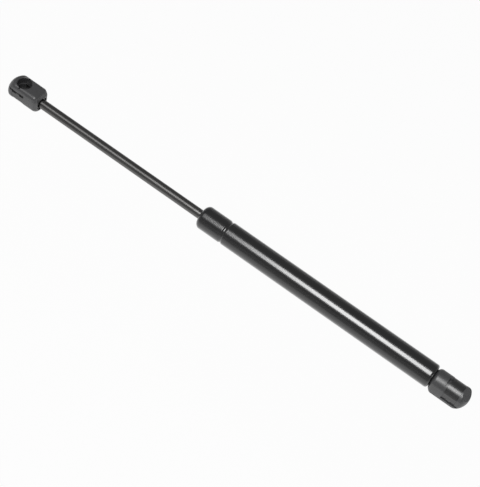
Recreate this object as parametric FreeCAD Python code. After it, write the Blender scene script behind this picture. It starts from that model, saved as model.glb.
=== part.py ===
import FreeCAD, Part
import math
import os

V = FreeCAD.Vector

# All sizes are in millimetres. +X runs along the strut from its rod end to its
# tube end, +Z is the way the rod-end socket opens, and the origin is the centre
# of the ball that the tube-end socket holds.

# Overall sizes, fully extended
BALL_TO_BALL = 315.0
ROD_R = 3.0
TUBE_R = 7.5
WALL = 1.0

# Fits
RUNNING = 0.03  # radial, round a sliding rod or ring
SNUG = 0.05  # radial, pieces slid into the tube
SHAFT_CLEAR = 0.3  # radial, plates the rod passes but doesn't touch
THREAD_GAP = 0.03
BALL_GAP = 0.05  # radial, round the ball in its seat
CLIP_GAP = 0.1

# Ball socket, the same part at both ends, sized round an 8 mm ball
BALL_R = 4.0
SEAT_R = BALL_R + BALL_GAP
SOCKET_BACK_R = 6.8
SIDE_INSET = 0.3  # each side, inside the back's own radius
SOCKET_HALF_W = SOCKET_BACK_R - SIDE_INSET
SOCKET_SIDE_R = 40.0  # the gentle bow of each side
SOCKET_WIDEST_Z = 1.0
SOCKET_MOUTH_H = 7.5
MOUTH_HALF_W = (
    SOCKET_HALF_W - SOCKET_SIDE_R + math.sqrt(SOCKET_SIDE_R**2 - (SOCKET_MOUTH_H - SOCKET_WIDEST_Z) ** 2)
)
DOME_ROOM = 0.05  # the dome's radius, over the section's farthest corner
SOCKET_DOME_R = math.hypot(MOUTH_HALF_W, SOCKET_MOUTH_H) + DOME_ROOM
SOCKET_SHANK = 14.1
SOCKET_EDGE_R = 2.6  # edges round the mouth face and down its bevel
BACK_EDGE_R = 3.5
BEVEL_RUN = 1.6
BEVEL_DROP = 3.6
NOSE_BEVEL = 45.0  # degrees, the flat where the back meets the dome
NOSE_START = 4.6  # where that flat starts on the back
SEAT_TOP = 2.35
MOUTH_R = 4.55
MOUTH_CHAMFER = 0.5
RIM_NOTCH_W = 1.0  # notches over the clip's hooks
RIM_NOTCH_REACH = 5.5
RIM_NOTCH_Z = 5.2
NECK_RECESS_R = ROD_R + 1.3
NECK_RECESS_DEPTH = 0.8
THREAD_R = 2.5
THREAD_DEPTH = 9.4

# Spring clip round the socket
CLIP_W = 8.3
CLIP_T = 0.7
CLIP_SINK = 0.15  # the clip's outside, below the socket's
CLIP_BACK_R = SOCKET_BACK_R - CLIP_SINK
CLIP_IN_W = SOCKET_HALF_W - CLIP_SINK - CLIP_T
CLIP_BEND_R = 1.2
BACK_GAP = 0.3  # between the band's round inside and the socket
SLIDE_GAP = 0.05  # between each leg and the socket's side
CLIP_LIFT = 3.2
LEG_END = 1.7
HOOK_W = 2.6
HOOK_REACH_Y = 3.3
HOOK_Z = 2.4
SLOT_X0 = -6.4
SLOT_X1 = 4.7
SLOT_Z0 = 2.5
SLOT_Z1 = 3.9
PRY_W = 1.5
PRY_DEPTH = 1.5
PRY_START = -13.0  # degrees from the middle of the back
PRY_ANGLE = 50.0

# Tube, from its base lip beside the socket to the lip round the rod
TUBE_LENGTH = 164.4
BASE_GAP = 0.05
BASE_BEND_R = 1.6
ROD_BEND_R = 3.0
LIP_CLEAR = 1.2  # radial, the rod in the tube's end
BOSS_CLEAR = 0.3  # radial, the boss in the tube's base
GROOVE_DEPTH = 0.5
GROOVE_HALF_W = 1.2
BORE_R = TUBE_R - WALL
BOSS_FACE = -SOCKET_SHANK
BASE_LIP = BOSS_FACE - BASE_GAP
ROD_LIP = BASE_LIP - TUBE_LENGTH

# Base plug
PLUG_LENGTH = 6.0
PLUG_RIM = 0.7
BOSS_R = 5.0
STUD_LENGTH = 8.5
STUD_TIP = 0.5
RING_SETBACK = 3.4  # from the plug's outer face to the middle of its ring
RING_WIDTH = 1.8
RING_DEPTH = 1.2
RING_CORNER = 0.45

# Guide and seal stack, from the rod lip inwards
END_WASHER_T = 1.0
GUIDE_LENGTH = 7.4
GUIDE_RIM = ROD_BEND_R - WALL - END_WASHER_T  # what is left of the bend there
WIPER_DEPTH = 1.8
WIPER_LIP = 0.45
WIPER_CUP = 0.9
WIPER_R = ROD_R + 1.9
BUSH_R = ROD_R + 0.9
BUSH_SETBACK = 0.6
SEAL_LENGTH = 4.6
SEAL_CUP = 2.5
SEAL_LIP = 1.15
SEAL_LIP_T = 1.0
SEAL_SKIRT_T = 0.75
SEAL_HEEL = 1.85
SEAL_FLOOR_T = 0.6
SEAL_WASHER_T = 1.0
SPACER_LENGTH = 2.0
SPACER_CLEAR = 0.6

# Piston package, from the stop face inwards
SUPPORT_T = 1.0
SUPPORT_R = BORE_R - SHAFT_CLEAR
STOP_GAP = 0.02  # between the support disc's rim and the groove, rod out
PISTON_LENGTH = 6.0
PISTON_R = BORE_R - SHAFT_CLEAR
PISTON_RING_W = 2.0
PISTON_RING_T = 1.12
PISTON_GROOVE_FLOOR = 0.25
PISTON_GROOVE_SIDE = 0.08
ORIFICE_T = 0.6
ORIFICE_R = BORE_R - 0.9
ORIFICE_HOLE_R = 0.35
ORIFICE_AT = 4.2
PASSAGE_R = 0.75
PASSAGE_AT = 4.1
RIVET_WASHER_T = 1.2
RIVET_WASHER_R = 3.7
SPIGOT_R = 2.0
RIVET_R = 2.9
RIVET_FLAT_R = 0.9
RIVET_T = 0.8

# Rod thread, in the rod-end socket
ROD_SEAT_DEPTH = 2.5
ROD_THREAD = 6.5
ROD_TIP = 0.5
ROD_END = -BALL_TO_BALL


def ring(x0, x1, r_in, r_out):
    """A plain ring about the strut's axis."""
    body = Part.makeCylinder(r_out, x1 - x0, V(x0, 0, 0), V(1, 0, 0))
    if r_in:
        body = body.cut(Part.makeCylinder(r_in, x1 - x0 + 2, V(x0 - 1, 0, 0), V(1, 0, 0)))
    return body


def wire(points, place):
    """A closed wire through 2-D points, each turned into a vector by place. A point
    given as a pair of points is the middle and the end of an arc."""
    edges = []
    here = place(points[0])
    for item in points[1:]:
        if isinstance(item[0], tuple):
            end = place(item[1])
            edges.append(Part.Arc(here, place(item[0]), end).toShape())
        else:
            end = place(item)
            edges.append(Part.makeLine(here, end))
        here = end
    return Part.Wire(edges)


def spun(points):
    """A closed profile of (x, r) points turned about the strut's axis."""
    face = Part.Face(wire(points, lambda p: V(p[0], 0, p[1])))
    return face.revolve(V(0, 0, 0), V(1, 0, 0), 360)


def section(points):
    """A closed profile of (y, z) points across the strut at x = 0."""
    return wire(points, lambda p: V(0, p[0], p[1]))


def bend(x, r, radius, toward):
    """Middle and end of the quarter bend from the tube's outside at radius r to
    its end plane at x. toward is the sign of the way out of that end."""
    mid = radius * (1 - math.sin(math.radians(45)))
    return ((x - toward * mid, r - mid), (x, r - radius))


def pressure_tube():
    """The drawn tube with both ends rolled in and the groove rolled round it."""
    out_r = TUBE_R
    in_r = BORE_R
    base = BASE_LIP
    rod = ROD_LIP
    inner_base = BASE_BEND_R - WALL
    inner_rod = ROD_BEND_R - WALL
    low_out = out_r - GROOVE_DEPTH
    low_in = in_r - GROOVE_DEPTH
    g0 = GROOVE_X - GROOVE_HALF_W
    g1 = GROOVE_X + GROOVE_HALF_W
    base_mid, base_end = bend(base, out_r, BASE_BEND_R, 1)
    rod_mid, rod_end = bend(rod, out_r, ROD_BEND_R, -1)
    in_base_mid, in_base_end = bend(base - WALL, in_r, inner_base, 1)
    in_rod_mid, in_rod_end = bend(rod + WALL, in_r, inner_rod, -1)
    points = [
        (g0, out_r),
        ((GROOVE_X, low_out), (g1, out_r)),
        (base - BASE_BEND_R, out_r),
        (base_mid, base_end),
        (base, BOSS_R + BOSS_CLEAR),
        (base - WALL, BOSS_R + BOSS_CLEAR),
        in_base_end,
        (in_base_mid, (base - WALL - inner_base, in_r)),
        (g1, in_r),
        ((GROOVE_X, low_in), (g0, in_r)),
        (rod + WALL + inner_rod, in_r),
        (in_rod_mid, in_rod_end),
        (rod + WALL, ROD_R + LIP_CLEAR),
        (rod, ROD_R + LIP_CLEAR),
        rod_end,
        (rod_mid, (rod + ROD_BEND_R, out_r)),
        (g0, out_r),
    ]
    return spun(points)


def ring_groove(x):
    """The space a squeezed sealing ring fills, between a groove floor and the bore."""
    return ring(x - RING_WIDTH / 2, x + RING_WIDTH / 2, BORE_R - RING_DEPTH, BORE_R + 1)


def sealing_ring(x):
    """A rubber ring squeezed between its groove's floor and the tube's bore."""
    body = ring(x - RING_WIDTH / 2, x + RING_WIDTH / 2, BORE_R - RING_DEPTH, BORE_R)
    round_edges = [e for e in body.Edges if isinstance(e.Curve, Part.Circle)]
    return body.makeFillet(RING_CORNER, round_edges)


PLUG_FACE = BASE_LIP - WALL
BASE_RING_X = PLUG_FACE - RING_SETBACK


def base_plug():
    """The turned plug in the tube's closed end, with its boss and its M5 stud."""
    plug = ring(PLUG_FACE - PLUG_LENGTH, PLUG_FACE, 0, BORE_R - SNUG)
    rim = [e for e in plug.Edges if isinstance(e.Curve, Part.Circle)]
    plug = plug.makeChamfer(PLUG_RIM, rim)
    plug = plug.cut(ring_groove(BASE_RING_X))
    plug = plug.fuse(ring(PLUG_FACE, BOSS_FACE, 0, BOSS_R))
    end = BOSS_FACE + STUD_LENGTH
    stud = ring(BOSS_FACE, end, 0, THREAD_R)
    tip = [e for e in stud.Edges if e.BoundBox.XMin > end - 0.01]
    stud = stud.makeChamfer(STUD_TIP, tip)
    return plug.fuse(stud).removeSplitter()


# Stations of the guide and seal stack
WASHER_X = ROD_LIP + WALL
GUIDE_X = WASHER_X + END_WASHER_T
WIPER_END = GUIDE_X + WIPER_DEPTH
BUSH_X = WIPER_END + BUSH_SETBACK
GUIDE_RING_X = GUIDE_X + GUIDE_LENGTH / 2
SEAL_X = GUIDE_X + GUIDE_LENGTH
SEAL_WASHER_X = SEAL_X + SEAL_LENGTH
SPACER_X = SEAL_WASHER_X + SEAL_WASHER_T
SPACER_END = SPACER_X + SPACER_LENGTH
GROOVE_X = SPACER_END + GROOVE_HALF_W


def end_washer():
    """The steel disc that the tube's rod end is rolled over, its rim rounded to lie
    in the bend."""
    bend_r = ROD_BEND_R - WALL
    rim_r = bend_r - SNUG
    centre_x = WASHER_X + bend_r
    centre_r = BORE_R - bend_r
    across = centre_x - GUIDE_X
    top = centre_r + math.sqrt(rim_r**2 - across**2)
    low = centre_x - rim_r
    half = (math.pi + math.atan2(top - centre_r, -across)) / 2
    middle = (centre_x + rim_r * math.cos(half), centre_r + rim_r * math.sin(half))
    hole = ROD_R + SHAFT_CLEAR
    points = [
        (WASHER_X, hole),
        (WASHER_X, centre_r - bend_r / 4),
        (low, centre_r),
        (middle, (GUIDE_X, top)),
        (GUIDE_X, hole),
        (WASHER_X, hole),
    ]
    return spun(points)


def rod_guide():
    """The guide carrier: wiper recess at its outer end, bearing bore inside."""
    body = ring(GUIDE_X, SEAL_X, 0, BORE_R - SNUG)
    rim = [e for e in body.Edges if isinstance(e.Curve, Part.Circle)]
    body = body.makeChamfer(GUIDE_RIM, rim)
    body = body.cut(ring(GUIDE_X - 1, SEAL_X + 1, 0, ROD_R + SHAFT_CLEAR))
    body = body.cut(ring(GUIDE_X - 1, WIPER_END, 0, WIPER_R))
    body = body.cut(ring(BUSH_X, SEAL_X + 1, 0, BUSH_R))
    return body.cut(ring_groove(GUIDE_RING_X))


def guide_bush():
    """The thin lined bearing sleeve that the rod slides in."""
    return ring(BUSH_X, SEAL_X, ROD_R + RUNNING, BUSH_R)


def wiper_ring():
    """The scraper that keeps dirt off the seal, with one lip on the rod."""
    lip = ROD_R + RUNNING
    back = ROD_R + 2 * SHAFT_CLEAR
    points = [
        (GUIDE_X, lip),
        (GUIDE_X, WIPER_R),
        (WIPER_END, WIPER_R),
        (WIPER_END, back),
        (GUIDE_X + WIPER_CUP, back),
        (GUIDE_X + WIPER_LIP, lip),
        (GUIDE_X, lip),
    ]
    return spun(points)


def rod_seal():
    """The lip seal. Gas pressure opens its cup against the rod and the tube."""
    end = SEAL_WASHER_X
    floor = end - SEAL_CUP
    lip = ROD_R + RUNNING
    heel = ROD_R + SHAFT_CLEAR
    middle = (lip + BORE_R) / 2
    points = [
        (SEAL_X, heel),
        (SEAL_X, BORE_R),
        (end, BORE_R),
        (end, BORE_R - SEAL_SKIRT_T),
        (floor, middle + SEAL_FLOOR_T / 2),
        (floor, middle - SEAL_FLOOR_T / 2),
        (end, lip + SEAL_LIP_T),
        (end, lip),
        (end - SEAL_LIP, lip),
        (SEAL_X + SEAL_HEEL, heel),
        (SEAL_X, heel),
    ]
    return spun(points)


def seal_washer():
    return ring(SEAL_WASHER_X, SPACER_X, ROD_R + SHAFT_CLEAR, BORE_R - SNUG)


def spacer_ring():
    """The ring that passes the stack's load to the rolled groove."""
    return ring(SPACER_X, SPACER_END, ROD_R + SPACER_CLEAR, BORE_R - SNUG)


# Stations of the piston package. The support disc's rim meets the inside of the
# rolled groove, an arc of radius GROOVE_ARC_R, when the rod is fully out.
PISTON_RING_IN = BORE_R - RUNNING - PISTON_RING_T
GROOVE_ARC_R = (GROOVE_HALF_W**2 + GROOVE_DEPTH**2) / (2 * GROOVE_DEPTH)
RIM_DROP = GROOVE_ARC_R - (SUPPORT_R - BORE_R + GROOVE_DEPTH)
STOP_X = GROOVE_X + math.sqrt(GROOVE_ARC_R**2 - RIM_DROP**2) + STOP_GAP
PISTON_X = STOP_X + SUPPORT_T
ORIFICE_X = PISTON_X + PISTON_LENGTH
RIVET_WASHER_X = ORIFICE_X + ORIFICE_T
RIVET_X = RIVET_WASHER_X + RIVET_WASHER_T


def around(count, x0, x1, radius, at):
    """Round holes along the strut, spaced evenly about its axis."""
    holes = []
    for i in range(count):
        angle = 2 * math.pi * i / count
        start = V(x0, at * math.cos(angle), at * math.sin(angle))
        holes.append(Part.makeCylinder(radius, x1 - x0, start, V(1, 0, 0)))
    return Part.makeCompound(holes)


def piston():
    """The piston, with its ring groove and four gas passages."""
    x1 = ORIFICE_X
    body = ring(PISTON_X, x1, SPIGOT_R, PISTON_R)
    half = PISTON_RING_W / 2 + PISTON_GROOVE_SIDE
    middle = (PISTON_X + x1) / 2
    floor = PISTON_RING_IN - PISTON_GROOVE_FLOOR
    body = body.cut(ring(middle - half, middle + half, floor, PISTON_R + 1))
    return body.cut(around(4, PISTON_X - 1, x1 + 1, PASSAGE_R, PASSAGE_AT))


def piston_ring():
    """The sliding ring. It bears on the tube and the piston can turn inside it."""
    middle = (PISTON_X + ORIFICE_X) / 2
    half = PISTON_RING_W / 2
    return ring(middle - half, middle + half, PISTON_RING_IN, BORE_R - RUNNING)


def support_disc():
    body = ring(STOP_X, PISTON_X, SPIGOT_R, SUPPORT_R)
    return body.cut(around(4, STOP_X - 1, PISTON_X + 1, PASSAGE_R, PASSAGE_AT))


def orifice_disc():
    """The thin disc whose two small holes set how fast the strut opens."""
    body = ring(ORIFICE_X, RIVET_WASHER_X, SPIGOT_R, ORIFICE_R)
    return body.cut(around(2, ORIFICE_X - 1, RIVET_WASHER_X + 1, ORIFICE_HOLE_R, ORIFICE_AT))


def rivet_washer():
    return ring(RIVET_WASHER_X, RIVET_X, SPIGOT_R, RIVET_WASHER_R)


def piston_rod():
    """The rod: riveted spigot in the piston, plain shaft, M5 end in its socket."""
    shoulder = ROD_END + SOCKET_SHANK - ROD_SEAT_DEPTH
    tip = shoulder - ROD_THREAD
    head_end = RIVET_X + RIVET_T
    slant = math.sqrt(0.5)
    bulge = (RIVET_X + RIVET_T * slant, RIVET_FLAT_R + (RIVET_R - RIVET_FLAT_R) * slant)
    points = [
        (tip, 0),
        (tip, THREAD_R - ROD_TIP),
        (tip + ROD_TIP, THREAD_R),
        (shoulder, THREAD_R),
        (shoulder, ROD_R),
        (STOP_X, ROD_R),
        (STOP_X, SPIGOT_R),
        (RIVET_X, SPIGOT_R),
        (RIVET_X, RIVET_R),
        (bulge, (head_end, RIVET_FLAT_R)),
        (head_end, 0),
        (tip, 0),
    ]
    return spun(points)


def socket_section():
    """The socket's own section as a face at x = 0: round back, sides bowed about their
    widest line, flat at the mouth. Also gives the height where sides and back meet."""
    top = SOCKET_MOUTH_H
    middle = V(0, SOCKET_HALF_W - SOCKET_SIDE_R, SOCKET_WIDEST_Z)
    far = middle.Length
    inward = middle / far
    reach = (SOCKET_BACK_R**2 - SOCKET_SIDE_R**2 + far**2) / (2 * far)
    down = math.sqrt(SOCKET_BACK_R**2 - reach**2)
    low = inward * reach + V(0, -inward.z, inward.y) * down
    high = V(0, MOUTH_HALF_W, top)
    bow = V(0, SOCKET_HALF_W, SOCKET_WIDEST_Z)

    def other(p):
        return V(0, -p.y, p.z)

    edges = [
        Part.makeLine(other(high), high),
        Part.Arc(high, bow, low).toShape(),
        Part.Arc(low, V(0, 0, -SOCKET_BACK_R), other(low)).toShape(),
        Part.Arc(other(low), other(bow), other(high)).toShape(),
    ]
    return Part.Face(Part.Wire(edges)), low.z


def outline(back_r, half_w, top):
    """A clip or recess section as a face at x = 0: round back, flat sides, flat at z = top."""
    z = -math.sqrt(back_r * back_r - half_w * half_w)
    left = V(0, -half_w, top)
    right = V(0, half_w, top)
    edges = [
        Part.makeLine(left, right),
        Part.makeLine(right, V(0, half_w, z)),
        Part.Arc(V(0, half_w, z), V(0, 0, -back_r), V(0, -half_w, z)).toShape(),
        Part.makeLine(V(0, -half_w, z), left),
    ]
    return Part.Face(Part.Wire(edges))


def along(face, x0, x1):
    """A section swept along X."""
    face.translate(V(x0, 0, 0))
    return face.extrude(V(x1 - x0, 0, 0))


def box(x0, x1, half_w, z0, z1):
    """A box centred on the strut's vertical plane."""
    return Part.makeBox(x1 - x0, 2 * half_w, z1 - z0, V(x0, -half_w, z0))


def wedge(points):
    """A block right across the socket, its outline given as (x, z) points."""
    far = 2 * SOCKET_DOME_R
    corners = [V(x, -far, z) for x, z in points + points[:1]]
    return Part.Face(Part.makePolygon(corners)).extrude(V(0, 2 * far, 0))


def socket_block():
    """The socket's outside: the section drawn along X, with a domed outer end that
    meets the back in a flat, a bevel over the shank's end and rounded edges."""
    top = SOCKET_MOUTH_H
    far = 2 * SOCKET_DOME_R
    end = SOCKET_SHANK
    section_face, corner_z = socket_section()
    body = along(section_face, -SOCKET_DOME_R - 1, end)
    corners = [
        e
        for e in body.Edges
        if e.BoundBox.XLength > 1 and abs(e.CenterOfMass.z - corner_z) < 0.01
    ]
    body = body.makeFillet(BACK_EDGE_R, corners)
    keep = Part.makeSphere(SOCKET_DOME_R).fuse(box(0, end + 1, far, -far, far))
    body = body.common(keep)
    rise = (far - NOSE_START) * math.tan(math.radians(NOSE_BEVEL))
    nose = [
        (-NOSE_START, -SOCKET_BACK_R),
        (-NOSE_START, -far),
        (-far, -far),
        (-far, rise - SOCKET_BACK_R),
    ]
    bevel = [
        (end - BEVEL_RUN, top),
        (end, top - BEVEL_DROP),
        (end + 1, top - BEVEL_DROP),
        (end + 1, top + 1),
        (end - BEVEL_RUN, top + 1),
    ]
    body = body.cut(wedge(nose)).cut(wedge(bevel)).removeSplitter()
    edges = [
        e
        for e in body.Edges
        if e.BoundBox.ZMax > top - 0.01 or e.BoundBox.XMin > end - 0.01
    ]
    return body.makeFillet(SOCKET_EDGE_R, edges)


def socket_local():
    """The socket with its ball centre at the origin, its mouth up and its shank
    toward +X."""
    body = socket_block()
    top = SOCKET_MOUTH_H
    body = body.cut(Part.makeSphere(SEAT_R))
    body = body.cut(Part.makeCylinder(SEAT_R, SEAT_TOP))
    body = body.cut(Part.makeCylinder(MOUTH_R, top, V(0, 0, SEAT_TOP)))
    body = body.cut(
        Part.makeCone(
            MOUTH_R, MOUTH_R + 2 * MOUTH_CHAMFER, 2 * MOUTH_CHAMFER, V(0, 0, top - MOUTH_CHAMFER)
        )
    )
    body = body.cut(
        box(-RIM_NOTCH_W / 2, RIM_NOTCH_W / 2, RIM_NOTCH_REACH, RIM_NOTCH_Z, top)
    )
    # the recess that the clip's band and legs lie in, and the slots at its ends
    half = CLIP_W / 2 + CLIP_GAP
    floor_w = CLIP_IN_W - SLIDE_GAP
    around_it = box(-half, half, SOCKET_BACK_R + 1, -SOCKET_BACK_R - 1, SLOT_Z1)
    recess = around_it.cut(
        along(outline(CLIP_BACK_R - CLIP_T - BACK_GAP, floor_w, SLOT_Z1 + 1), -half, half)
    )
    slots = box(SLOT_X0, SLOT_X1, SOCKET_BACK_R, SLOT_Z0, SLOT_Z1)
    slots = slots.cut(box(SLOT_X0, SLOT_X1, floor_w, SLOT_Z0, SLOT_Z1))
    body = body.cut(recess.fuse(slots))
    # the windows that the hooks reach in through, and their way as the clip lifts
    window_w = HOOK_W / 2 + CLIP_GAP
    low = HOOK_Z - (CLIP_BEND_R - CLIP_T) - CLIP_LIFT - CLIP_GAP
    body = body.cut(box(-window_w, window_w, SOCKET_BACK_R, low, HOOK_Z + CLIP_T))
    # the slot where a screwdriver lifts the clip
    profile = Part.makePolygon(
        [
            V(half, 0, -SOCKET_BACK_R - 1),
            V(half + PRY_W, 0, -SOCKET_BACK_R - 1),
            V(half + PRY_W, 0, -SOCKET_BACK_R + PRY_DEPTH),
            V(half, 0, -SOCKET_BACK_R + PRY_DEPTH),
            V(half, 0, -SOCKET_BACK_R - 1),
        ]
    )
    slot = Part.Face(profile).revolve(V(0, 0, 0), V(1, 0, 0), -PRY_ANGLE)
    slot.rotate(V(0, 0, 0), V(1, 0, 0), -PRY_START)
    return body.cut(slot).removeSplitter()


def hook_clip():
    """The spring clip in the socket's own frame: a band about the back, a leg down
    each side, and on each leg a tongue that bends in to hook the ball."""
    half = CLIP_W / 2
    inner_r = CLIP_BACK_R - CLIP_T
    out_w = CLIP_IN_W + CLIP_T
    band = along(outline(CLIP_BACK_R, out_w, LEG_END), -half, half)
    band = band.cut(along(outline(inner_r, CLIP_IN_W, LEG_END), -half, half))
    bend_r = CLIP_BEND_R
    top = HOOK_Z + CLIP_T
    arc = bend_r / math.sqrt(2)
    inner = bend_r - CLIP_T
    y0 = out_w - bend_r
    z0 = top - bend_r
    for side in (-1, 1):
        points = [
            (side * out_w, LEG_END - CLIP_T),
            (side * out_w, z0),
            ((side * (y0 + arc), z0 + arc), (side * y0, top)),
            (side * HOOK_REACH_Y, top),
            (side * HOOK_REACH_Y, HOOK_Z),
            (side * y0, HOOK_Z),
            (
                (side * (y0 + inner / math.sqrt(2)), z0 + inner / math.sqrt(2)),
                (side * CLIP_IN_W, z0),
            ),
            (side * CLIP_IN_W, LEG_END - CLIP_T),
            (side * out_w, LEG_END - CLIP_T),
        ]
        tongue = Part.Face(section(points))
        tongue.translate(V(-HOOK_W / 2, 0, 0))
        band = band.fuse(tongue.extrude(V(HOOK_W, 0, 0)))
    return band.removeSplitter()


def rod_end(shape):
    """Puts a socket piece at the rod end, mouth up, shank toward the tube."""
    shape.translate(V(ROD_END, 0, 0))
    return shape


def tube_end(shape):
    """Puts a socket piece at the tube end, turned half a turn about Y."""
    shape.rotate(V(0, 0, 0), V(0, 1, 0), 180)
    return shape


def rod_end_socket():
    face = ROD_END + SOCKET_SHANK
    shoulder = face - ROD_SEAT_DEPTH
    body = rod_end(socket_local())
    body = body.cut(ring(face - NECK_RECESS_DEPTH, face + 1, 0, NECK_RECESS_R))
    body = body.cut(ring(shoulder, face + 1, 0, ROD_R + SNUG))
    return body.cut(ring(face - THREAD_DEPTH, face, 0, THREAD_R + THREAD_GAP))


def tube_end_socket():
    body = tube_end(socket_local())
    return body.cut(ring(BOSS_FACE, BOSS_FACE + THREAD_DEPTH, 0, THREAD_R + THREAD_GAP))


NODES = {
    "pressure_tube": pressure_tube,
    "base_plug": base_plug,
    "base_sealing_ring": lambda: sealing_ring(BASE_RING_X),
    "tube_end_socket": tube_end_socket,
    "tube_end_clip": lambda: tube_end(hook_clip()),
    "end_washer": end_washer,
    "wiper_ring": wiper_ring,
    "rod_guide": rod_guide,
    "guide_bush": guide_bush,
    "guide_sealing_ring": lambda: sealing_ring(GUIDE_RING_X),
    "rod_seal": rod_seal,
    "seal_washer": seal_washer,
    "spacer_ring": spacer_ring,
    "piston_rod": piston_rod,
    "piston_support_disc": support_disc,
    "piston": piston,
    "piston_ring": piston_ring,
    "orifice_disc": orifice_disc,
    "rivet_washer": rivet_washer,
    "rod_end_socket": rod_end_socket,
    "rod_end_clip": lambda: rod_end(hook_clip()),
}

os.makedirs("parts", exist_ok=True)
for name, make in NODES.items():
    make().exportStep("parts/" + name + ".step")
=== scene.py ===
import math

import bpy
import numpy as np
from mathutils import Matrix, Vector


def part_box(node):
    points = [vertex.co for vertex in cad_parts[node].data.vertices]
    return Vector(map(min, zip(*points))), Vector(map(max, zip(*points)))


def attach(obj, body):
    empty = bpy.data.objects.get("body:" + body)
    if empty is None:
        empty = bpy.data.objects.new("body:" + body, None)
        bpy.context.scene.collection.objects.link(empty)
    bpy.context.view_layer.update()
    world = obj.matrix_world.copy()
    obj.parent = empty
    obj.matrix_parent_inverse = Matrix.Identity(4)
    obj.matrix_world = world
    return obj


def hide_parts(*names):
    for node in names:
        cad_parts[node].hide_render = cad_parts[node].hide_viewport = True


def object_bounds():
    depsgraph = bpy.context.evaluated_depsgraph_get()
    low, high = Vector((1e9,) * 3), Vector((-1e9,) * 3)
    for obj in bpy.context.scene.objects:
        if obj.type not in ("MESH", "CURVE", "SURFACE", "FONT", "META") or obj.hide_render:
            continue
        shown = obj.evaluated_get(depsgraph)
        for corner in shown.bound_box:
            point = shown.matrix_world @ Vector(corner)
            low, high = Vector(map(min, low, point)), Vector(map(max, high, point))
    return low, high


bl_info = {
    "name": "Trunk lid gas strut",
    "version": (1, 0, 0),
    "blender": (4, 5, 0),
    "location": "3D View > Sidebar > Strut",
    "description": "Dresses a gas strut with clipped ball sockets and sets it in a studio",
    "category": "Add Mesh",
}

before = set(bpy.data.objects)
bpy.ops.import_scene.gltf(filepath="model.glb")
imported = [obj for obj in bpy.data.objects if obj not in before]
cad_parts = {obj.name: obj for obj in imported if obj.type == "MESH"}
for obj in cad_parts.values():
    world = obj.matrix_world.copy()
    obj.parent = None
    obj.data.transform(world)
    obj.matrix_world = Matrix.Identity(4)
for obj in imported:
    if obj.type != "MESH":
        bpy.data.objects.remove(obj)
CAD_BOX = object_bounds()
MM = 0.001

# Where each softbox stands, the point it faces and its two sides, all in metres
SOFTBOXES = {
    "key_softbox": ((-0.18, -0.4147, 0.91), (-0.18, 0, 0), (0.31, 0.54)),
    "side_softbox": ((-0.69, -0.4147, 0.91), (-0.69, 0, 0), (0.33, 0.54)),
    "end_card": ((0.8, -0.05, 0.1), (0, 0, 0), (0.2, 0.16)),
}


# Sizes, colours and studio settings that a user would change


class StrutSizes(bpy.types.PropertyGroup):
    """Sizes of the turned tube. Its two ends and its outside radius come from the CAD tube in
    model.glb.
    """

    wall: bpy.props.FloatProperty(
        name="Tube wall",
        description="Thickness of the tube",
        default=1.0 * MM,
        unit="LENGTH",
    )
    base_bend: bpy.props.FloatProperty(
        name="Base bend",
        description="Outside radius of the rolled edge at the tube's closed end",
        default=1.6 * MM,
        unit="LENGTH",
    )
    rod_bend: bpy.props.FloatProperty(
        name="Rod-end bend",
        description="Outside radius of the rolled edge round the rod",
        default=3.0 * MM,
        unit="LENGTH",
    )
    base_hole: bpy.props.FloatProperty(
        name="Base hole",
        description="Radius inside the base lip",
        default=5.3 * MM,
        unit="LENGTH",
    )
    rod_hole: bpy.props.FloatProperty(
        name="Rod hole",
        description="Radius inside the rod-end lip",
        default=4.2 * MM,
        unit="LENGTH",
    )
    groove_x: bpy.props.FloatProperty(
        name="Groove place",
        description="Middle of the rolled groove along the strut",
        default=-160.35 * MM,
        unit="LENGTH",
    )
    groove_depth: bpy.props.FloatProperty(
        name="Groove depth",
        description="How far the groove goes in",
        default=0.5 * MM,
        unit="LENGTH",
    )
    groove_half: bpy.props.FloatProperty(
        name="Groove half width",
        description="Half the groove's width",
        default=1.2 * MM,
        unit="LENGTH",
    )
    turns: bpy.props.IntProperty(
        name="Facets",
        description="Faces round the tube",
        default=192,
        min=24,
    )


class StrutColours(bpy.types.PropertyGroup):
    """The main colour of each finish."""

    paint: bpy.props.FloatVectorProperty(
        name="Tube paint",
        description="Gloss black paint",
        subtype="COLOR",
        default=(0.006, 0.006, 0.0065),
    )
    rod_steel: bpy.props.FloatVectorProperty(
        name="Rod steel",
        description="Dark nitrided steel",
        subtype="COLOR",
        default=(0.14, 0.138, 0.136),
    )
    plastic: bpy.props.FloatVectorProperty(
        name="Socket plastic",
        description="Moulded black plastic",
        subtype="COLOR",
        default=(0.045, 0.045, 0.047),
    )
    spring: bpy.props.FloatVectorProperty(
        name="Clip steel",
        description="Black coated spring steel",
        subtype="COLOR",
        default=(0.012, 0.012, 0.0125),
    )
    dark_steel: bpy.props.FloatVectorProperty(
        name="Plug steel",
        description="Dark phosphated steel",
        subtype="COLOR",
        default=(0.05, 0.05, 0.05),
    )
    zinc: bpy.props.FloatVectorProperty(
        name="Zinc plate",
        description="Zinc plated steel",
        subtype="COLOR",
        default=(0.55, 0.55, 0.56),
    )
    brass: bpy.props.FloatVectorProperty(
        name="Guide brass",
        description="Turned brass",
        subtype="COLOR",
        default=(0.72, 0.55, 0.28),
    )
    alloy: bpy.props.FloatVectorProperty(
        name="Piston alloy",
        description="Turned aluminium",
        subtype="COLOR",
        default=(0.62, 0.62, 0.64),
    )
    bearing: bpy.props.FloatVectorProperty(
        name="Bearing plastic",
        description="Filled bearing plastic",
        subtype="COLOR",
        default=(0.32, 0.3, 0.26),
    )
    rubber: bpy.props.FloatVectorProperty(
        name="Rubber",
        description="Black seal rubber",
        subtype="COLOR",
        default=(0.03, 0.03, 0.03),
    )


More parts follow.
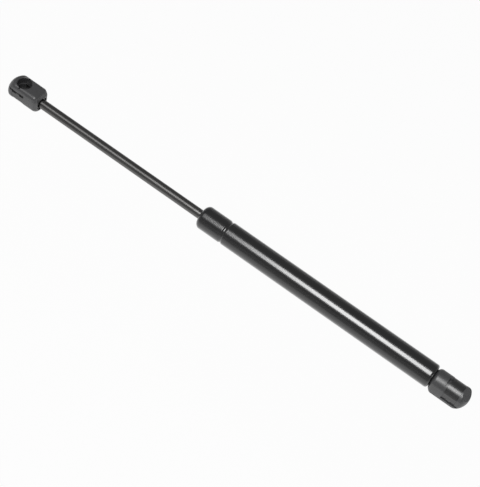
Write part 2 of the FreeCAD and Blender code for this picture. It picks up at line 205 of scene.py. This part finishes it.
class StudioSettings(bpy.types.PropertyGroup):
    """Camera, lamps and floor."""

    camera_place: bpy.props.FloatVectorProperty(
        name="Camera place",
        description="Where the camera stands",
        default=(0.030366, -0.471757, 0.661379),
        unit="LENGTH",
    )
    camera_aim: bpy.props.FloatVectorProperty(
        name="Camera aim",
        description="What the camera looks at",
        default=(-0.149859, -0.000886, 0.0),
        unit="LENGTH",
    )
    camera_roll: bpy.props.FloatProperty(
        name="Camera roll",
        description="Turn about the line of sight",
        default=0.314014,
        unit="ROTATION",
    )
    lens: bpy.props.FloatProperty(
        name="Lens",
        description="Focal length in millimetres",
        default=105.221,
        unit="CAMERA",
    )
    floor_drop: bpy.props.FloatProperty(
        name="Floor drop",
        description="Floor below the strut's axis",
        default=0.25,
        unit="LENGTH",
    )
    key_power: bpy.props.FloatProperty(
        name="Key power",
        description="Power of the large softbox over the tube",
        default=6.5,
        unit="POWER",
    )
    side_power: bpy.props.FloatProperty(
        name="Side power",
        description="Power of the dim softbox over the rod",
        default=1.0,
        unit="POWER",
    )
    card_power: bpy.props.FloatProperty(
        name="Card power",
        description="Power of the small card beyond the tube's end",
        default=0.6,
        unit="POWER",
    )
    room_light: bpy.props.FloatProperty(
        name="Room light",
        description="Strength of the room's own grey light",
        default=0.22,
    )


# Shader writing


class Reading:
    """A shader socket in an expression: each operator adds the Math node that works it out."""

    def __init__(self, finish, socket):
        self.finish = finish
        self.socket = socket

    def maths(self, operation, *terms):
        return self.finish.maths(operation, *terms)

    def __add__(self, other):
        return self.maths("ADD", self, other)

    def __radd__(self, other):
        return self.maths("ADD", other, self)

    def __sub__(self, other):
        return self.maths("SUBTRACT", self, other)

    def __rsub__(self, other):
        return self.maths("SUBTRACT", other, self)

    def __mul__(self, other):
        return self.maths("MULTIPLY", self, other)

    def __rmul__(self, other):
        return self.maths("MULTIPLY", other, self)


class Finish:
    """One material: its node tree, its shader and the object coordinates in millimetres."""

    def __init__(self, name):
        self.material = bpy.data.materials.new(name)
        self.material.use_nodes = True
        self.tree = self.material.node_tree
        self.tree.nodes.clear()
        self.shader = self.tree.nodes.new("ShaderNodeBsdfPrincipled")
        output = self.tree.nodes.new("ShaderNodeOutputMaterial")
        self.surface = output.inputs["Surface"]
        self.tree.links.new(self.shader.outputs[0], self.surface)
        place = self.node("ShaderNodeTexCoord", {}, {}, "Object")
        self.place = self.node(
            "ShaderNodeVectorMath", {"operation": "SCALE"}, {0: place, "Scale": 1 / MM}
        )

    def node(self, kind, settings, values, out=0):
        """Adds a node with its settings, then its socket values or links, and reads an output."""
        made = self.tree.nodes.new(kind)
        for key, value in settings.items():
            setattr(made, key, value)
        for key, value in values.items():
            self.put(made.inputs[key], value)
        return Reading(self, made.outputs[out])

    def maths(self, operation, *terms):
        return self.node("ShaderNodeMath", {"operation": operation}, dict(enumerate(terms)))

    def put(self, socket, value):
        """Links a reading to a socket, or writes a value there."""
        if isinstance(value, Reading):
            self.tree.links.new(value.socket, socket)
        else:
            socket.default_value = value

    def set(self, **values):
        """Sets or feeds the shader's own sockets: Base_Color means Base Color."""
        for key, value in values.items():
            self.put(self.shader.inputs[key.replace("_", " ")], value)

    def noise(self, size, detail=2.0, stretch=(1, 1, 1)):
        """Noise from 0 to 1 whose lumps are about size mm, divided along each axis by stretch."""
        scale = tuple(k / size for k in stretch)
        place = self.node(
            "ShaderNodeVectorMath", {"operation": "MULTIPLY"}, {0: self.place, 1: scale}
        )
        values = {"Vector": place, "Scale": 1.0, "Detail": detail}
        return self.node("ShaderNodeTexNoise", {}, values, "Fac")

    def between(self, reading, low, high):
        """A ramp from 0 at low to 1 at high, level outside."""
        return self.node("ShaderNodeMapRange", {}, {0: reading, 1: low, 2: high})

    def shades(self, factor, colour, dark, light):
        """A colour that goes from dark times itself, at factor 0, to light times itself, at 1."""
        ends = [(*(k * channel for channel in colour), 1.0) for k in (dark, light)]
        values = {0: factor, 6: ends[0], 7: ends[1]}
        return self.node("ShaderNodeMix", {"data_type": "RGBA"}, values, 2)

    def bump(self, height, depth):
        """Feeds the shader's normal with height, 0 to 1, as depth mm."""
        values = {"Strength": 1.0, "Distance": depth * MM, "Height": height}
        self.set(Normal=self.node("ShaderNodeBump", {}, values))


def gloss_paint(colour):
    """Black paint over drawn steel: faint orange peel and a little variation in gloss."""
    f = Finish("black_paint")
    drift = f.noise(size=14, detail=3)
    gloss = f.noise(size=6, detail=3, stretch=(0.4, 1, 1))
    peel = f.noise(size=1.6, stretch=(0.6, 1, 1))
    f.set(
        Base_Color=f.shades(drift, colour, dark=0.8, light=1.35),
        Roughness=0.2 + 0.08 * gloss,
        IOR=1.5,
        Coat_Weight=1.0,
        Coat_Roughness=0.2,
    )
    f.bump(peel, depth=0.002)
    return f.material


def ground_steel(colour):
    """Nitrided rod: fine grinding rings about the axis over a slightly clouded grey."""
    f = Finish("rod_steel")
    rings = f.noise(size=0.16, stretch=(1, 0.05, 0.05))
    cloud = f.noise(size=9, detail=3, stretch=(0.5, 1, 1))
    f.set(
        Base_Color=f.shades(cloud, colour, dark=0.8, light=1.25),
        Metallic=1.0,
        Roughness=0.22 + 0.1 * rings,
    )
    f.bump(rings, depth=0.0008)
    return f.material


def moulded_plastic(colour):
    """Glass-filled moulding: fine spark-eroded grain with flow marks in its gloss."""
    f = Finish("black_plastic")
    grain = f.noise(size=0.22)
    flow = f.noise(size=3.5, detail=3, stretch=(0.35, 1, 1))
    f.set(
        Base_Color=f.shades(flow, colour, dark=0.85, light=1.25),
        Roughness=0.34 + 0.1 * flow,
        IOR=1.75,
    )
    f.bump(grain, depth=0.012)
    return f.material


def coated_spring(colour):
    """Spring steel with a black glossy coat."""
    f = Finish("spring_steel")
    cloud = f.noise(size=2.2, detail=3)
    grain = f.noise(size=0.4)
    f.set(
        Base_Color=f.shades(cloud, colour, dark=0.8, light=1.3),
        Roughness=0.27 + 0.08 * cloud,
        IOR=1.8,
    )
    f.bump(grain, depth=0.003)
    return f.material


def turned_metal(name, colour, roughness):
    """Metal turned about the axis: fine rings, and clouds in its colour."""
    f = Finish(name)
    rings = f.noise(size=0.2, stretch=(1, 0.1, 0.1))
    cloud = f.noise(size=4, detail=3)
    f.set(
        Base_Color=f.shades(cloud, colour, dark=0.88, light=1.08),
        Metallic=1.0,
        Roughness=roughness + 0.12 * rings,
    )
    f.bump(rings, depth=0.002)
    return f.material


def matt_finish(name, colour, roughness):
    """Rubber or bearing plastic: matt, finely mottled."""
    f = Finish(name)
    mottle = f.noise(size=0.8, detail=3)
    grain = f.noise(size=0.15)
    f.set(
        Base_Color=f.shades(mottle, colour, dark=0.8, light=1.2),
        Roughness=roughness + 0.1 * mottle,
        IOR=1.5,
    )
    f.bump(grain, depth=0.004)
    return f.material


def dress(nodes, material):
    """Gives CAD nodes a material in their one slot."""
    for name in nodes:
        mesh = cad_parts[name].data
        mesh.materials.clear()
        mesh.materials.append(material)


# Turned pieces


def eased(points, radius, steps=5):
    """An (x, r) polyline with each sharp inner corner replaced by a small curve: the points
    of a quadratic from one side to the other, radius away from the corner. A gentle corner
    stays one point."""
    gentle_cosine = 0.97  # a turn of less than about 14 degrees
    reach = 0.45  # the most of a side that a curve takes
    points = np.array(points, float)
    corner = points[1:-1]
    back, on = points[:-2] - corner, points[2:] - corner
    back_length = np.hypot(*back.T)
    on_length = np.hypot(*on.T)
    gentle = -(back * on).sum(1) > gentle_cosine * back_length * on_length
    cut = np.minimum(radius, reach * np.minimum(back_length, on_length))
    cut[gentle] = 0
    first = (corner + back * (cut / back_length)[:, None])[:, None]
    last = (corner + on * (cut / on_length)[:, None])[:, None]
    t = np.linspace(0, 1, steps)[None, :, None]
    rows = (1 - t) ** 2 * first + 2 * t * (1 - t) * corner[:, None] + t**2 * last
    kept = np.ones(rows.shape[:2], bool)
    kept[gentle, 1:] = False
    return np.vstack([points[:1], rows[kept], points[-1:]])


def arc(centre, radius, start, end, steps=13):
    """Points of an arc in the (x, r) plane, angles in degrees from +x toward +r."""
    a = np.radians(np.linspace(start, end, steps))
    return np.column_stack([centre[0] + radius * np.cos(a), centre[1] + radius * np.sin(a)])


def turned(name, profile, turns):
    """A mesh turned about the strut's axis: row i, column j is (x_i, r_i cos a_j, r_i sin a_j).
    A row with r = 0 is one point."""
    x, r = np.asarray(profile, float).T
    a = np.arange(turns) * 2 * math.pi / turns
    grid = np.stack(
        [np.repeat(x[:, None], turns, 1), np.outer(r, np.cos(a)), np.outer(r, np.sin(a))],
        axis=-1,
    )
    pole = r < 1e-9
    index = np.arange(len(x) * turns).reshape(len(x), turns)
    index[pole] = index[pole][:, :1]
    used, flat = np.unique(index, return_inverse=True)
    index = flat.reshape(index.shape)
    right = np.roll(index, -1, axis=1)
    quads = np.stack([index[:-1], right[:-1], right[1:], index[1:]], axis=-1)
    faces = []
    for ring, top, bottom in zip(quads, pole[:-1], pole[1:]):
        if top:
            ring = ring[:, [0, 2, 3]]
        elif bottom:
            ring = ring[:, [0, 1, 2]]
        faces.extend(ring.tolist())
    mesh = bpy.data.meshes.new(name)
    mesh.from_pydata(grid.reshape(-1, 3)[used].tolist(), [], faces)
    mesh.polygons.foreach_set("use_smooth", np.ones(len(faces), bool))
    mesh.validate()
    return mesh


def add_piece(name, mesh, material, body, node):
    """Links a finished mesh as the piece that stands for a CAD node."""
    piece = bpy.data.objects.new(name, mesh)
    bpy.context.scene.collection.objects.link(piece)
    mesh.materials.append(material)
    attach(piece, body)
    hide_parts(node)


# Operators


class STRUT_OT_tube(bpy.types.Operator):
    """Make the painted pressure tube with its rolled lips and groove"""

    bl_idname = "strut.tube"
    bl_label = "Pressure tube"

    def execute(self, context):
        s = context.scene.strut_sizes
        low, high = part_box("pressure_tube")
        ring = eased(self.section(s, low.x, high.x, high.z), radius=0.15 * MM)
        material = gloss_paint(context.scene.strut_colours.paint)
        mesh = turned("tube_wall", ring, s.turns)
        add_piece("tube_wall", mesh, material, "cylinder", "pressure_tube")
        return {"FINISHED"}

    def section(self, s, rod_x, base_x, out_r):
        """The closed (x, r) outline of the wall: out along the outside from the rod end to the
        base, in at the base hole, back along the inside and out at the rod hole. The groove
        is an arc, as deep as groove_depth over twice groove_half."""
        base, rod = s.base_bend, s.rod_bend
        half, depth = s.groove_half, s.groove_depth
        in_r = out_r - s.wall
        bulge = (half * half + depth**2) / (2 * depth)
        sweep = math.degrees(math.asin(half / bulge))
        steady = 0.4 * MM  # a row this far from each end of a straight keeps its shading level
        start = (rod_x, (s.rod_hole + out_r - rod) / 2)
        groove_out = (s.groove_x, out_r - depth + bulge)
        groove_in = (s.groove_x, in_r - depth + bulge)
        return np.vstack(
            [
                [start],
                arc((rod_x + rod, out_r - rod), rod, 180, 90),
                [(rod_x + rod + steady, out_r), (s.groove_x - half - steady, out_r)],
                arc(groove_out, bulge, 270 - sweep, 270 + sweep),
                [(s.groove_x + half + steady, out_r), (base_x - base - steady, out_r)],
                arc((base_x - base, out_r - base), base, 90, 0),
                [(base_x, s.base_hole), (base_x - s.wall, s.base_hole)],
                arc((base_x - base, out_r - base), base - s.wall, 0, 90),
                arc(groove_in, bulge, 270 + sweep, 270 - sweep),
                arc((rod_x + rod, out_r - rod), rod - s.wall, 90, 180),
                [(rod_x + s.wall, s.rod_hole), (rod_x, s.rod_hole)],
                [start],
            ]
        )


class STRUT_OT_rod(bpy.types.Operator):
    """Give the rod its ground dark finish"""

    bl_idname = "strut.rod"
    bl_label = "Piston rod"

    def execute(self, context):
        dress(["piston_rod"], ground_steel(context.scene.strut_colours.rod_steel))
        return {"FINISHED"}


class STRUT_OT_sockets(bpy.types.Operator):
    """Give both ball sockets their moulded finish"""

    bl_idname = "strut.sockets"
    bl_label = "Ball sockets"

    def execute(self, context):
        material = moulded_plastic(context.scene.strut_colours.plastic)
        dress(["rod_end_socket", "tube_end_socket"], material)
        return {"FINISHED"}


class STRUT_OT_clips(bpy.types.Operator):
    """Give both spring clips their coated finish"""

    bl_idname = "strut.clips"
    bl_label = "Spring clips"

    def execute(self, context):
        material = coated_spring(context.scene.strut_colours.spring)
        dress(["rod_end_clip", "tube_end_clip"], material)
        return {"FINISHED"}


class STRUT_OT_metals(bpy.types.Operator):
    """Finish the plug dark, the washers in zinc, the guide in brass and the piston in alloy"""

    bl_idname = "strut.metals"
    bl_label = "Plug, washers, guide and piston"

    def execute(self, context):
        c = context.scene.strut_colours
        zinc = ["end_washer", "seal_washer", "piston_support_disc", "orifice_disc", "rivet_washer"]
        dress(["base_plug"], turned_metal("dark_steel", c.dark_steel, roughness=0.4))
        dress(zinc, turned_metal("zinc_steel", c.zinc, roughness=0.28))
        dress(["rod_guide"], turned_metal("brass", c.brass, roughness=0.25))
        dress(["piston"], turned_metal("piston_alloy", c.alloy, roughness=0.3))
        return {"FINISHED"}


class STRUT_OT_seals(bpy.types.Operator):
    """Finish the rubber rings and seals, the bearing bush, spacer and piston ring"""

    bl_idname = "strut.seals"
    bl_label = "Seals and bearings"

    def execute(self, context):
        c = context.scene.strut_colours
        rubber = ["base_sealing_ring", "wiper_ring", "guide_sealing_ring", "rod_seal"]
        bearings = ["guide_bush", "spacer_ring", "piston_ring"]
        dress(rubber, matt_finish("black_rubber", c.rubber, roughness=0.6))
        dress(bearings, matt_finish("bearing_plastic", c.bearing, roughness=0.4))
        return {"FINISHED"}


class STRUT_OT_studio(bpy.types.Operator):
    """Set the pale floor and cove, the softboxes, the room's light and the camera"""

    bl_idname = "strut.studio"
    bl_label = "Studio and camera"

    def execute(self, context):
        s = context.scene.strut_studio
        self.cove(s)
        powers = (s.key_power, s.side_power, s.card_power)
        for (name, (place, aim, size)), power in zip(SOFTBOXES.items(), powers):
            self.softbox(name, place, aim, size, power)
        self.room(context, s)
        self.camera(context, s)
        context.scene.view_settings.view_transform = "Standard"
        return {"FINISHED"}

    def cove(self, s):
        """A floor that curves up into a wall, in metres: a profile turned about the vertical."""
        wall_r, bend, top = 6.0, 1.5, 2.5
        a = np.radians(np.linspace(-90, 0, 12))
        r = np.concatenate([[0.0], wall_r - bend + bend * np.cos(a), [wall_r]])
        z = np.concatenate([[0.0], bend + bend * np.sin(a), [top]]) - s.floor_drop
        mesh = turned("studio_floor", np.column_stack([z, r]), turns=96)
        upright = Matrix(((0, 1, 0, 0), (0, 0, 1, 0), (1, 0, 0, 0), (0, 0, 0, 1)))
        mesh.transform(upright)
        floor = bpy.data.objects.new("studio_floor", mesh)
        bpy.context.scene.collection.objects.link(floor)
        mesh.materials.append(self.paper())

    def paper(self):
        """White paper, plain white to the camera. In reflections it is white near the strut
        and fades away from it, which puts the dark lines beside the highlights."""
        near_mm, far_mm = 350, 1500
        far_share = 0.25  # how much of the white is left past far_mm
        shown = 0.95  # the rest is lit paper, which keeps the floor's shadow
        f = Finish("studio_floor")
        lit = f.node("ShaderNodeBsdfDiffuse", {}, {"Color": (0.9, 0.9, 0.9, 1)})
        white = f.node("ShaderNodeEmission", {}, {"Color": (1, 1, 1, 1), "Strength": 1.0})
        middle = (CAD_BOX[0] + CAD_BOX[1]) / (2 * MM)
        away = f.node(
            "ShaderNodeVectorMath", {"operation": "DISTANCE"}, {0: f.place, 1: middle}, "Value"
        )
        near = 1 - f.between(away, near_mm, far_mm)
        path = f.tree.nodes.new("ShaderNodeLightPath")
        camera, glossy, through = (
            Reading(f, path.outputs[ray])
            for ray in ("Is Camera Ray", "Is Glossy Ray", "Is Transmission Ray")
        )
        mirrored = f.maths("MAXIMUM", glossy, through) * (far_share + (1 - far_share) * near)
        seen = f.maths("MAXIMUM", camera, mirrored)
        mixed = f.node("ShaderNodeMixShader", {}, {0: shown * seen, 1: lit, 2: white})
        f.put(f.surface, mixed)
        return f.material

    def softbox(self, name, place, aim, size, power):
        """A rectangular lamp that faces a point, with its first side level."""
        lamp = bpy.data.lights.new(name, "AREA")
        lamp.shape = "RECTANGLE"
        lamp.size, lamp.size_y = size
        lamp.energy = power
        made = bpy.data.objects.new(name, lamp)
        bpy.context.scene.collection.objects.link(made)
        back = (Vector(place) - Vector(aim)).normalized()
        side = Vector((0, 0, 1)).cross(back).normalized()
        up = back.cross(side)
        turn = Matrix((side, up, back)).transposed().to_4x4()
        made.matrix_world = Matrix.Translation(place) @ turn

    def room(self, context, s):
        """Even light from all round."""
        world = bpy.data.worlds.new("studio_room")
        world.use_nodes = True
        sky = world.node_tree.nodes["Background"]
        sky.inputs["Color"].default_value = (1, 1, 1, 1)
        sky.inputs["Strength"].default_value = s.room_light
        context.scene.world = world

    def camera(self, context, s):
        """The camera, rolled about its line of sight."""
        data = bpy.data.cameras.new("camera")
        data.lens = s.lens
        data.sensor_width = 36.0
        data.clip_start, data.clip_end = 0.05, 50
        camera = bpy.data.objects.new("camera", data)
        context.scene.collection.objects.link(camera)
        place = Vector(s.camera_place)
        ahead = (Vector(s.camera_aim) - place).normalized()
        level = ahead.cross(Vector((0, 0, 1))).normalized()
        above = level.cross(ahead)
        cosine, sine = math.cos(s.camera_roll), math.sin(s.camera_roll)
        right = cosine * level + sine * above
        up = cosine * above - sine * level
        turn = Matrix((right, up, -ahead)).transposed().to_4x4()
        camera.matrix_world = Matrix.Translation(place) @ turn
        context.scene.camera = camera


class VIEW3D_PT_strut(bpy.types.Panel):
    """Lists the strut's pieces and the studio"""

    bl_label = "Gas strut"
    bl_space_type = "VIEW_3D"
    bl_region_type = "UI"
    bl_category = "Strut"

    def draw(self, context):
        for operator in OPERATORS:
            self.layout.operator(operator.bl_idname)
        for name in GROUPS:
            group = getattr(context.scene, name)
            for key in group.bl_rna.properties.keys():
                if key not in ("rna_type", "name"):
                    self.layout.prop(group, key)


OPERATORS = [
    STRUT_OT_tube,
    STRUT_OT_rod,
    STRUT_OT_sockets,
    STRUT_OT_clips,
    STRUT_OT_metals,
    STRUT_OT_seals,
    STRUT_OT_studio,
]
GROUPS = {
    "strut_sizes": StrutSizes,
    "strut_colours": StrutColours,
    "strut_studio": StudioSettings,
}


def register():
    for made in [*GROUPS.values(), *OPERATORS, VIEW3D_PT_strut]:
        bpy.utils.register_class(made)
    for name, group in GROUPS.items():
        setattr(bpy.types.Scene, name, bpy.props.PointerProperty(type=group))


def unregister():
    for name in GROUPS:
        delattr(bpy.types.Scene, name)
    for made in [VIEW3D_PT_strut, *reversed(OPERATORS), *GROUPS.values()]:
        bpy.utils.unregister_class(made)


def main():
    register()
    for operator in OPERATORS:
        group, name = operator.bl_idname.split(".")
        getattr(getattr(bpy.ops, group), name)()


if __name__ == "__main__":
    main()
